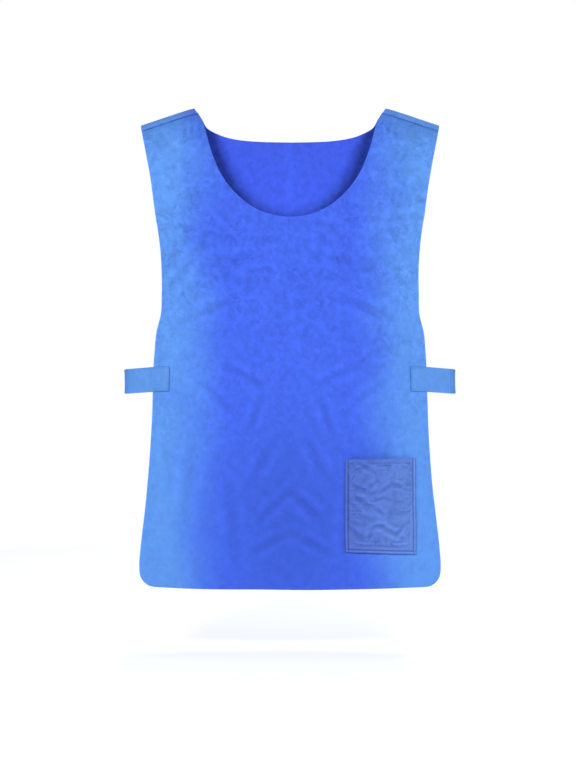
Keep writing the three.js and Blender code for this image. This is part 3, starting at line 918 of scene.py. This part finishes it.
# Painted shade and highlight from the folds of the settled net.
pocket_sheet.painted_shade = np.clip((fine_grown - blurred(fine_grown, RELIEF_REACH)) / RELIEF_FULL, -1, 1)
pocket_width, pocket_height = pocket_sheet.u[-1], pocket_sheet.v[-1]
follow(pocket_sheet, -1, 1.0)
u, v = np.meshgrid(pocket_sheet.u, pocket_sheet.v)
to_side = np.minimum(u, pocket_width - u)
to_seam = np.minimum(to_side, pocket_height - v)
loose = np.clip((to_seam - POCKET_STITCH_IN) / LOOSE_FROM_SEAM, 0, 1)
lift = (POCKET_CREPE * swirl(u, v, CREPE_SIZE, 19.4) + crease_lift(u, -v, POCKET_FOLDS, (1,))) * loose
for line in (POCKET_STITCH_IN, pocket_width - POCKET_STITCH_IN):
    lift += groove(pocket_sheet, line, None, POCKET_GROOVE)
lift += groove(pocket_sheet, None, pocket_height - POCKET_STITCH_IN, POCKET_GROOVE)
lift += groove(pocket_sheet, None, POCKET_HEM, HEM_GROOVE) * loose
pocket_sheet.push(lift)
seam_line = line_at(to_seam - POCKET_STITCH_IN, GROOVE_WIDE)
rim_line = line_at(to_seam - RIM_PLACE * POCKET_STITCH_IN, RIM_LINE)
edge_line = line_at(to_seam, GROOVE_WIDE)
# Painted shade, stronger on the folds, with a painted highlight on the turned edge and painted dark lines at
# the stitches and at the patch's edge.
pocket_sheet.painted_shade = FOLD_SHADE * pocket_sheet.painted_shade + RIM_LIGHT * rim_line
pocket_sheet.painted_shade = pocket_sheet.painted_shade - SEAM_SHADE * seam_line - SIDE_SHADE * edge_line
pocket = pocket_sheet.mesh("pocket_patch_cloth")
give_wall(pocket, POCKET_WALL)
inner, outer, foot = POCKET_STITCH_IN, pocket_width - POCKET_STITCH_IN, pocket_height - POCKET_STITCH_IN
seam = [(inner, LINE_END), (inner, foot), (outer, foot), (outer, LINE_END)]
hem = [(inner + HEM_SHORT, POCKET_HEM), (outer - HEM_SHORT, POCKET_HEM)]
pocket_stitches = sew("pocket_patch_stitches", [(pocket_sheet, seam), (pocket_sheet, hem)])

# %% [markdown]
# ## Chamois cloth
# The cloth is a soft, brushed chamois. Its nap is crushed in small patches, so its colour is mottled at a
# centimetre's scale, and short darker marks lie in it in all directions. Close to, the nap is a fine fluff.
# The same recipe serves all pieces with other colours and strengths, so it is a node group that puts out a
# colour, a roughness and a height, and each material has its own shader. Its colour also holds painted light:
# paler sides, painted shade and highlight on valleys and ridges, and painted shade low in the front's middle.

# %% Node group for the nap
RELIEF_SHADE = 0.10  # painted shade darkens valleys and painted highlight lightens ridges by this share
LOW_MIDDLE = (0, -0.08, -0.60)  # the middle of the front's lower part, which gets a little painted shade
LOW_SIZE = (0.15, 0.40, 0.20)
PALE_FROM_TO = (0.085, 0.19)  # between these distances from the middle the cloth gets paler, as painted light from the sides
PALE_WANDER = 0.07  # how far that wanders
CLOUD_FINENESS = 11  # one over the size in metres, as for the next four
BLOT_FINENESS = 34
DRIFT_FINENESS = 45
PATCH_FINENESS = 105
FLUFF_FINENESS = 900
BLOT_SHARE = 0.30
CLOUD_SHARE = 0.25
MARK_DRIFT = 0.012  # how far the marks are bent, in metres
MARK_TURNS = [
    # turn, fineness and stretch of the marks in one direction
    (0.0, 190, 2.3),
    (0.65, 170, 2.5),
    (1.3, 200, 2.2),
    (-0.6, 180, 2.6),
    (-1.2, 195, 2.3),
]

nap = bpy.data.node_groups.new("chamois_nap", "ShaderNodeTree")
for in_out, kind, names in (
    ("INPUT", "NodeSocketColor", ("Base", "Pale", "Mark")),
    ("INPUT", "NodeSocketFloat", ("Mottle", "Marks", "Relief", "Low Shade")),
    ("OUTPUT", "NodeSocketColor", ("Color",)),
    ("OUTPUT", "NodeSocketFloat", ("Roughness", "Height")),
):
    for name in names:
        nap.interface.new_socket(name=name, in_out=in_out, socket_type=kind)


def feed(sockets, values):
    """Gives each of the sockets its value, which is a number, a vector or the output of another node."""
    for socket, value in zip(sockets, values):
        if isinstance(value, bpy.types.NodeSocket):
            link(nap, value, socket)
        elif value is not None:
            socket.default_value = value


def math_node(operation, *values, clamp=False):
    made = node(nap, "ShaderNodeMath", operation=operation, use_clamp=clamp)
    feed(made.inputs, values)
    return made.outputs[0]


def plus(a, b):
    return math_node("ADD", a, b)


def minus(a, b):
    return math_node("SUBTRACT", a, b)


def times(a, b, clamp=False):
    return math_node("MULTIPLY", a, b, clamp=clamp)


def vector_node(operation, *values, output="Vector"):
    made = node(nap, "ShaderNodeVectorMath", operation=operation)
    feed(made.inputs, values)
    return made.outputs[output]


def noise_at(place, scale, detail, roughness, stretch=(1, 1, 1), turn=(0, 0, 0)):
    """Noise over the object, in features of about one over `scale` metres, stretched and turned."""
    mapping = node(nap, "ShaderNodeMapping", vector_type="TEXTURE")
    mapping.inputs["Scale"].default_value = stretch
    mapping.inputs["Rotation"].default_value = turn
    link(nap, place, mapping.inputs["Vector"])
    made = node(nap, "ShaderNodeTexNoise")
    made.inputs["Scale"].default_value = scale
    made.inputs["Detail"].default_value = detail
    made.inputs["Roughness"].default_value = roughness
    link(nap, mapping.outputs[0], made.inputs["Vector"])
    return made.outputs["Fac"]


def smooth_range(value, low, high, start=0.0, end=1.0):
    made = node(nap, "ShaderNodeMapRange", interpolation_type="SMOOTHSTEP")
    for name, number in (("From Min", low), ("From Max", high), ("To Min", start), ("To Max", end)):
        made.inputs[name].default_value = number
    link(nap, value, made.inputs["Value"])
    return made.outputs["Result"]


def mixed(share, one, two):
    made = node(nap, "ShaderNodeMix", data_type="RGBA")
    link(nap, share, made.inputs["Factor"])
    link(nap, one, made.inputs["A"])
    link(nap, two, made.inputs["B"])
    return made.outputs["Result"]


given = node(nap, "NodeGroupInput").outputs
wanted = node(nap, "NodeGroupOutput").inputs
place = node(nap, "ShaderNodeTexCoord").outputs["Object"]

# Painted light: the cloth is paler towards its sides, as if lit from there.
split = node(nap, "ShaderNodeSeparateXYZ")
link(nap, place, split.inputs[0])
cloud = noise_at(place, CLOUD_FINENESS, 3, 0.55)
from_middle = math_node("ABSOLUTE", split.outputs["X"])
cloud_off = minus(cloud, 0.5)
wander = times(cloud_off, PALE_WANDER)
painted_side_light = smooth_range(plus(from_middle, wander), *PALE_FROM_TO)
side_lit_tint = mixed(painted_side_light, given["Base"], given["Pale"])

# Crushed patches of nap, about a centimetre across, and slower clouds.
patches = noise_at(place, PATCH_FINENESS, 4, 0.60)
blots = noise_at(place, BLOT_FINENESS, 3, 0.6)
blot_part = times(minus(blots, 0.5), BLOT_SHARE)
cloud_part = times(cloud_off, CLOUD_SHARE)
slow_part = plus(blot_part, cloud_part)
uneven = plus(minus(patches, 0.5), slow_part)
fresh = smooth_range(split.outputs["Z"], -0.62, -0.18, 0.42, 1.25)  # it is smoother towards the hem
strength = times(times(uneven, fresh), given["Mottle"])
shade = plus(times(strength, 0.5), 1.0)
# Painted shade in the valleys and painted highlight on the ridges, from the attribute.
shade = plus(shade, times(given["Relief"], RELIEF_SHADE))
# Painted shade, darker towards the low middle of the front.
from_low = vector_node("DIVIDE", vector_node("SUBTRACT", place, LOW_MIDDLE), LOW_SIZE)
low = smooth_range(vector_node("LENGTH", from_low, output="Value"), 0.15, 1.0, 1.0, 0.0)
painted_low_shade = times(low, given["Low Shade"])
shade = times(shade, minus(1.0, painted_low_shade))
mottled_and_painted_light = vector_node("SCALE", side_lit_tint, None, None, shade)

# Short darker marks in five directions, which are bent a little by a slow wander of their places.
drift = node(nap, "ShaderNodeTexNoise")
drift.inputs["Scale"].default_value = DRIFT_FINENESS
drift.inputs["Detail"].default_value = 1
link(nap, place, drift.inputs["Vector"])
bent = vector_node("MULTIPLY_ADD", drift.outputs["Color"], (MARK_DRIFT,) * 3, place)
marks = None
for turn, fineness, stretch in MARK_TURNS:
    long_noise = noise_at(bent, fineness, 1, 0.5, (1, 1, stretch), (0, turn, 0))
    streaks = smooth_range(long_noise, 0.50, 0.80)
    marks = streaks if marks is None else math_node("MAXIMUM", marks, streaks)
where = smooth_range(blots, 0.40, 0.62, 0.3, 1.0)
marks = times(times(marks, where), fresh)
mark_share = times(marks, given["Marks"], clamp=True)
marked = vector_node("MULTIPLY", mottled_and_painted_light, given["Mark"])
link(nap, mixed(mark_share, mottled_and_painted_light, marked), wanted["Color"])

# The crushed patches are a little less rough, and the fluff is finest in the height.
rough = smooth_range(patches, 0.3, 0.7, 0.98, 0.84)
link(nap, rough, wanted["Roughness"])
fluff = times(noise_at(place, FLUFF_FINENESS, 3, 0.7), 0.22)
height = plus(fluff, times(patches, 0.6))
height = minus(height, times(marks, 0.35))
link(nap, height, wanted["Height"])
print(f"{nap.name}: {len(nap.nodes)} nodes")

# %% [markdown]
# ## Colours of the cloth
# The materials differ in colour, in how strong mottle and marks are, and in the depth of the nap.

# %% Cloth materials
SHEEN = 0.08
SHEEN_TINT = (0.3, 0.5, 1.0)

CLOTHS = {
    # base colour, the paler colour of the painted side light, mark colour, mottle, marks, depth of the nap in
    # metres, painted shade of the low middle
    "panel_cloth": ((0.061, 0.143, 0.82), (0.118, 0.320, 0.85), (0.78, 0.72, 0.80), 1.1, 0.8, 0.0009, 0.17),
    "inside_cloth": ((0.074, 0.156, 0.93), (0.078, 0.160, 0.93), (0.80, 0.76, 0.82), 0.7, 0.4, 0.0008, 0.0),
    "trim_cloth": ((0.072, 0.180, 0.76), (0.118, 0.310, 0.78), (0.80, 0.75, 0.80), 0.7, 0.4, 0.0006, 0.0),
    "pocket_cloth": ((0.088, 0.165, 0.58), (0.130, 0.245, 0.68), (0.65, 0.62, 0.70), 1.6, 0.6, 0.0008, 0.0),
    "band_cloth": ((0.082, 0.118, 0.78), (0.135, 0.340, 0.90), (0.80, 0.75, 0.80), 0.7, 0.4, 0.0006, 0.0),
    "thread": ((0.060, 0.140, 0.62), (0.080, 0.200, 0.66), (0.80, 0.75, 0.80), 0.3, 0.0, 0.0002, 0.0),
}


def cloth(name, base, side_lit, mark, mottle, marks, bump, low):
    """A chamois material. The sheen is set on the shader, because it is the same all over."""
    material = bpy.data.materials.new(name)
    material.use_nodes = True
    tree = material.node_tree
    shader = tree.nodes["Principled BSDF"]
    group = node(tree, "ShaderNodeGroup", node_tree=nap)
    for socket, value in (("Base", base), ("Pale", side_lit), ("Mark", mark)):
        group.inputs[socket].default_value = (*value, 1)
    for socket, value in (("Mottle", mottle), ("Marks", marks), ("Low Shade", low)):
        group.inputs[socket].default_value = value
    painted_shade = node(tree, "ShaderNodeAttribute", attribute_name="painted_shade")
    link(tree, painted_shade.outputs["Fac"], group.inputs["Relief"])
    raised = node(tree, "ShaderNodeBump")
    raised.inputs["Distance"].default_value = bump
    raised.inputs["Strength"].default_value = 0.9
    link(tree, group.outputs["Height"], raised.inputs["Height"])
    link(tree, group.outputs["Color"], shader.inputs["Base Color"])
    link(tree, group.outputs["Roughness"], shader.inputs["Roughness"])
    link(tree, raised.outputs["Normal"], shader.inputs["Normal"])
    shader.inputs["Specular IOR Level"].default_value = 0.12
    shader.inputs["Sheen Weight"].default_value = SHEEN
    shader.inputs["Sheen Roughness"].default_value = 0.45
    shader.inputs["Sheen Tint"].default_value = (*SHEEN_TINT, 1)
    return material


cloths = {name: cloth(name, *values) for name, values in CLOTHS.items()}
print("materials:", ", ".join(cloths))

# %% [markdown]
# ## Putting it together
# Every piece rides on the vest's one body and stands in for the CAD sheet of its name, which is hidden, and
# each gets its material.

# %% Pieces and materials
FLAT_LONGER = 1.06  # a panel's sheet against its height, for the way over the shoulder


def declare(piece, node_name, material):
    piece.data.materials.append(cloths[material])
    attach(piece, "root")
    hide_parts(node_name)


for side, node_name in ((-1, "front_panel"), (1, "back_panel")):
    panel = panels[side]
    sheet = panel_sheets[side]
    panel.data.materials[0] = cloths["panel_cloth"]
    panel.data.materials[1] = cloths["inside_cloth"]
    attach(panel, "root")
    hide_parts(node_name)
    lowest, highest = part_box(node_name)
    width = 2 * max(-lowest.x, highest.x)
    length = FLAT_LONGER * (highest.z - lowest.z)
for name in ("left", "right"):
    band, sheet = bands[name]
    declare(band, f"shoulder_band_{name}", "band_cloth")
    strap, sheet = straps[name]
    declare(strap, f"side_strap_{name}", "trim_cloth")
declare(pocket, "pocket_patch", "pocket_cloth")
for piece, slot in (
    (band_stitches, "trim_cloth"),
    (strap_stitches, "trim_cloth"),
    (pocket_stitches, "pocket_cloth"),
):
    piece.data.materials.append(cloths["thread"])
    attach(piece, "root")
